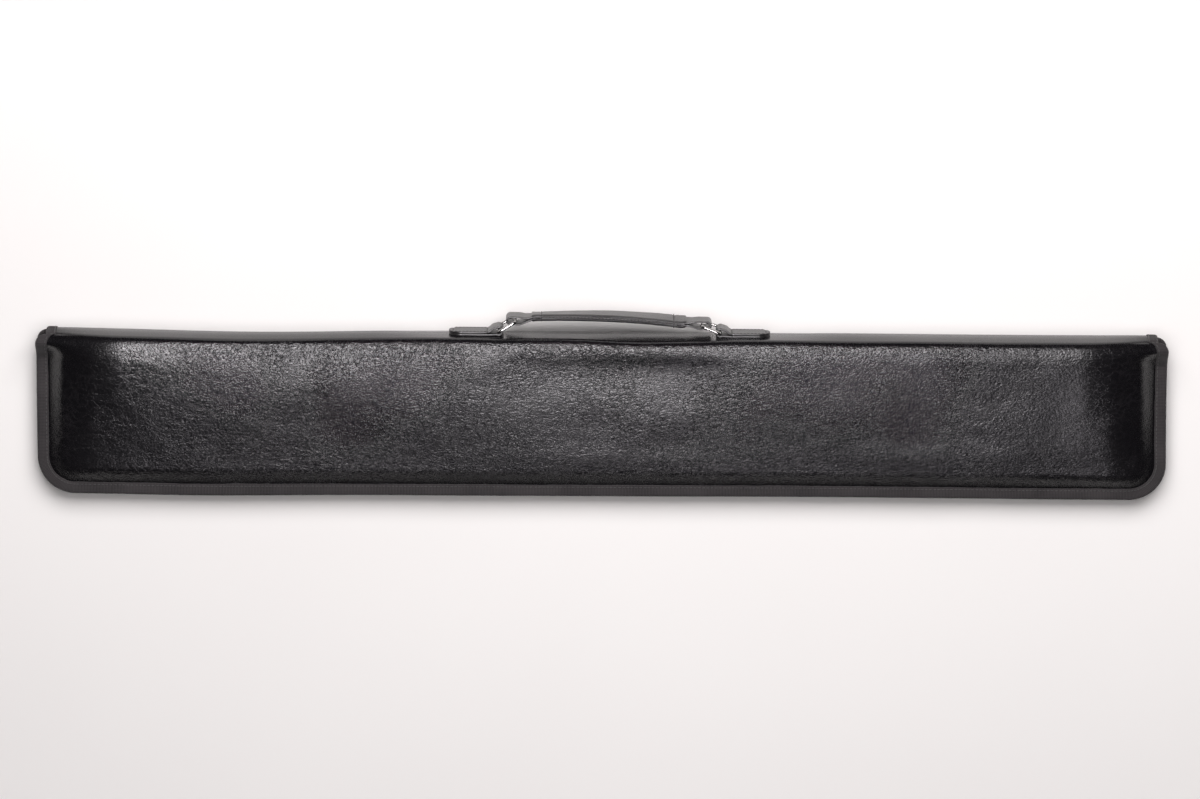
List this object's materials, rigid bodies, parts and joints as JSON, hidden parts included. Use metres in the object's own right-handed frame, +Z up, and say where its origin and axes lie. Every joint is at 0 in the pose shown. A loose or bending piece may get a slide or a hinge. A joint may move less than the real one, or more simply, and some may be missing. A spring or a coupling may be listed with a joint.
{
  "type": "cue case",
  "caption": "Flat zip-around padded case for a two-piece billiard cue, with bound edges, a folding spine and a strap handle on wire rings.",
  "frame": {"origin": "middle of the back cover's flat underside, under the middle of the case's width and length", "axes": "+X along the case, +Y out of the spine on the handle's side, +Z up out of the front cover with the case lying on its back"},
  "size_m": [0.8318, 0.1414, 0.042],
  "materials": {
    "leatherette": "semi-gloss pebbled",
    "handle_leather": "semi-gloss fine grain",
    "foam": "matte",
    "board": "matte",
    "fleece": "matte",
    "grosgrain": "matte ribbed",
    "zip_tape": "matte",
    "zip_nylon": "satin",
    "black_metal": "satin",
    "elastic": "matte",
    "webbing_strip": "matte",
    "thread": "matte",
    "ring_steel": "polished"
  },
  "bodies": {
    "back": {"back_cover_skin": "leatherette", "back_cover_foam": "foam", "back_cover_board": "board", "back_cover_lining": "fleece", "back_edge_binding": "grosgrain", "back_zip_tape": "zip_tape", "back_zip_coil": "zip_nylon", "zip_end_stops": "black_metal", "butt_loops": "elastic", "shaft_loops": "elastic", "divider_rib": "foam"},
    "slider": {"zip_slider": "black_metal"},
    "pull": {"zip_pull": "black_metal"},
    "spine": {"spine_skin": "leatherette", "spine_foam": "foam", "spine_strip": "webbing_strip", "spine_lining": "fleece", "spine_end_bindings": "grosgrain", "left_handle_tab": "handle_leather", "right_handle_tab": "handle_leather", "tab_stitching": "thread"},
    "front": {"front_cover_skin": "leatherette", "front_cover_foam": "foam", "front_cover_board": "board", "front_cover_lining": "fleece", "front_edge_binding": "grosgrain", "front_zip_tape": "zip_tape", "front_zip_coil": "zip_nylon"},
    "left_ring": {"left_ring": "ring_steel"},
    "right_ring": {"right_ring": "ring_steel"},
    "handle": {"handle_strap": "handle_leather", "grip_padding": "foam", "grip_sleeve": "handle_leather", "handle_stitching": "thread"}
  },
  "joints": [
    {"name": "spine_fold", "type": "hinge", "parent": "back", "child": "spine", "pos_m": [0, 0.059, 0.0035], "axis": [-1, 0, 0], "range_deg": [0, 45]},
    {"name": "cover_open", "type": "hinge", "parent": "spine", "child": "front", "pos_m": [0, 0.059, 0.0385], "axis": [-1, 0, 0], "range_deg": [0, 140]},
    {"name": "handle_lift", "type": "slide", "parent": "spine", "child": "handle", "axis": [0, 1, 0], "range_m": [-0.0044, 0.0044]},
    {"name": "left_ring_turn", "type": "hinge", "parent": "spine", "child": "left_ring", "pos_m": [-0.076, 0.06595, 0.021], "axis": [0, 0, 1], "range_deg": [-20, 20]},
    {"name": "right_ring_turn", "type": "hinge", "parent": "spine", "child": "right_ring", "pos_m": [0.087, 0.06595, 0.021], "axis": [0, 0, -1], "range_deg": [-20, 20]},
    {"name": "zip_travel", "type": "slide", "parent": "back", "child": "slider", "axis": [0, -1, 0], "range_m": [0, 0.072]},
    {"name": "pull_swing", "type": "hinge", "parent": "slider", "child": "pull", "pos_m": [-0.4151, 0.0472, 0.00765], "axis": [0, 0, -1], "range_deg": [0, 110]}
  ],
  "couplings": [
    {"joint": "left_ring_turn", "follows": "handle_lift", "rad_per_m": 76.95},
    {"joint": "right_ring_turn", "follows": "handle_lift", "rad_per_m": 76.95}
  ]
}
